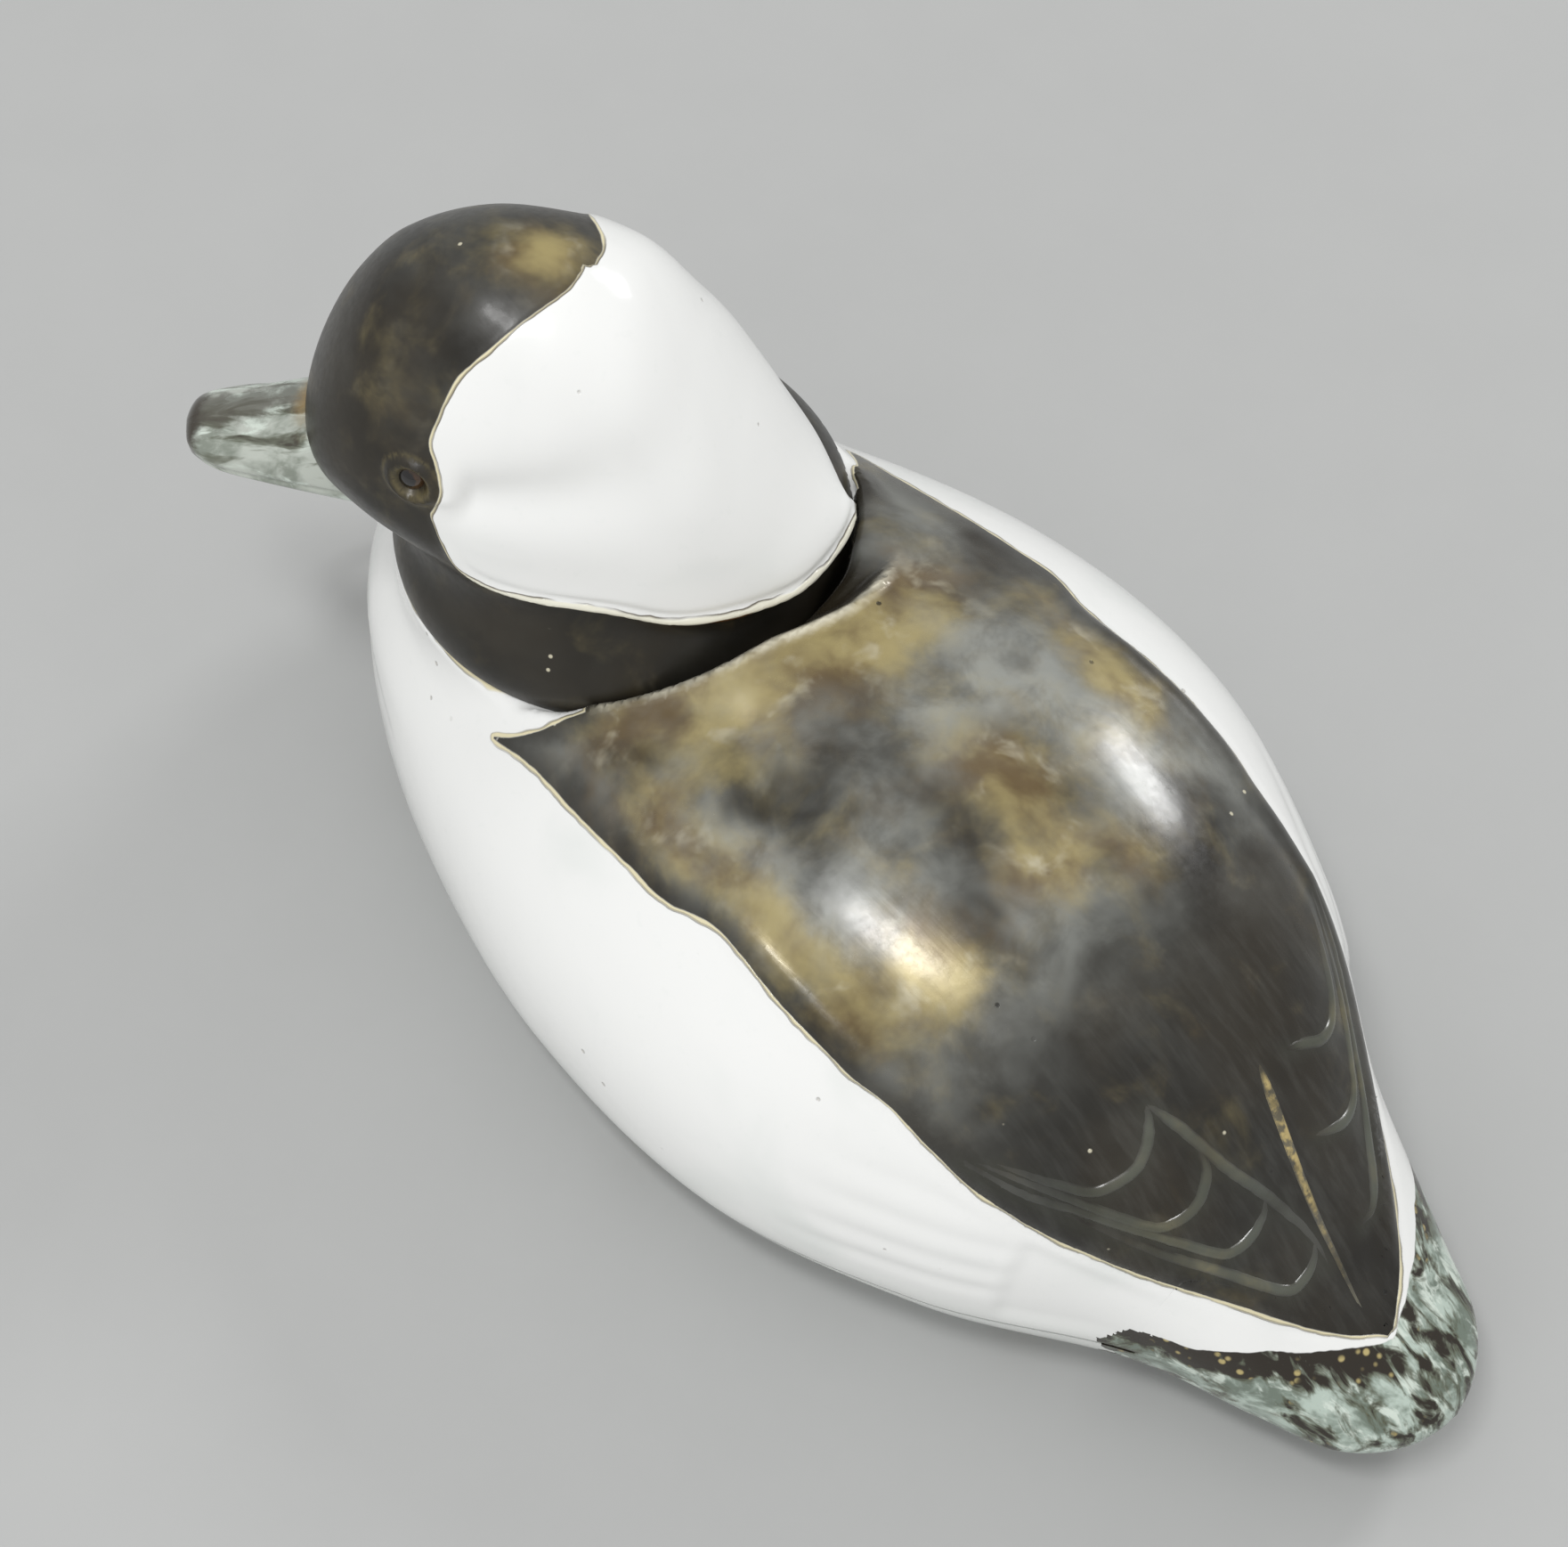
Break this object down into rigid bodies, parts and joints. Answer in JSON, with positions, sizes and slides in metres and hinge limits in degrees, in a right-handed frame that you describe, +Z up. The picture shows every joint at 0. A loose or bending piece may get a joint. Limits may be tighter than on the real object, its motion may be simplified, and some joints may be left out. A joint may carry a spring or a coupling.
{
  "type": "duck decoy",
  "caption": "Floating duck decoy with a hollow flat-bottomed hull, a head that turns on its neck, a let-in tail, an inset ballast bar and a swinging ring for the anchor line.",
  "frame": {"origin": "on the flat base, below the middle of the back", "axes": "+X forward to the breast, +Y to the bird's left, +Z up"},
  "size_m": [0.279, 0.1414, 0.1435],
  "materials": {
    "hull_enamel": "gloss white enamel over cedar, dark lustre on the back",
    "head_enamel": "gloss dark brown lustre enamel over basswood, white crest",
    "bill_enamel": "gloss mottled grey-green enamel over basswood",
    "tail_enamel": "gloss mottled grey-green and brown enamel over basswood",
    "seal_rubber": "black nitrile sheet",
    "fitting_brass": "plain brass",
    "dowel_wood": "bare birch",
    "ballast_iron": "grey painted iron",
    "disc_leather": "oiled leather",
    "steel_hardware": "stainless steel",
    "eye_glass": "dark brown glass"
  },
  "bodies": {
    "hull": {"back_shell": "hull_enamel", "bottom_shell": "hull_enamel", "seam_gasket": "seal_rubber", "hull_screws": "fitting_brass", "locating_dowels": "dowel_wood", "tail_piece": "tail_enamel", "tail_dowels": "dowel_wood", "ballast_bar": "ballast_iron", "ballast_screws": "fitting_brass", "line_tie_eye": "fitting_brass", "neck_bush": "fitting_brass", "friction_disc": "disc_leather"},
    "head": {"head": "head_enamel", "bill": "bill_enamel", "bill_dowel": "dowel_wood", "left_eye": "eye_glass", "right_eye": "eye_glass", "neck_spindle": "fitting_brass", "deck_washer": "steel_hardware", "disc_springs": "steel_hardware", "lock_nut": "steel_hardware"},
    "tie_ring": {"line_tie_ring": "fitting_brass"}
  },
  "joints": [
    {"name": "head_turn", "type": "hinge", "parent": "hull", "child": "head", "pos_m": [0.087, -0.002, 0.066], "axis": [0, 0, 1], "range_deg": [-125, 45]},
    {"name": "ring_swing", "type": "hinge", "parent": "hull", "child": "tie_ring", "pos_m": [0.14142, 0, 0.017], "axis": [0, -1, 0], "range_deg": [-20, 55]}
  ]
}
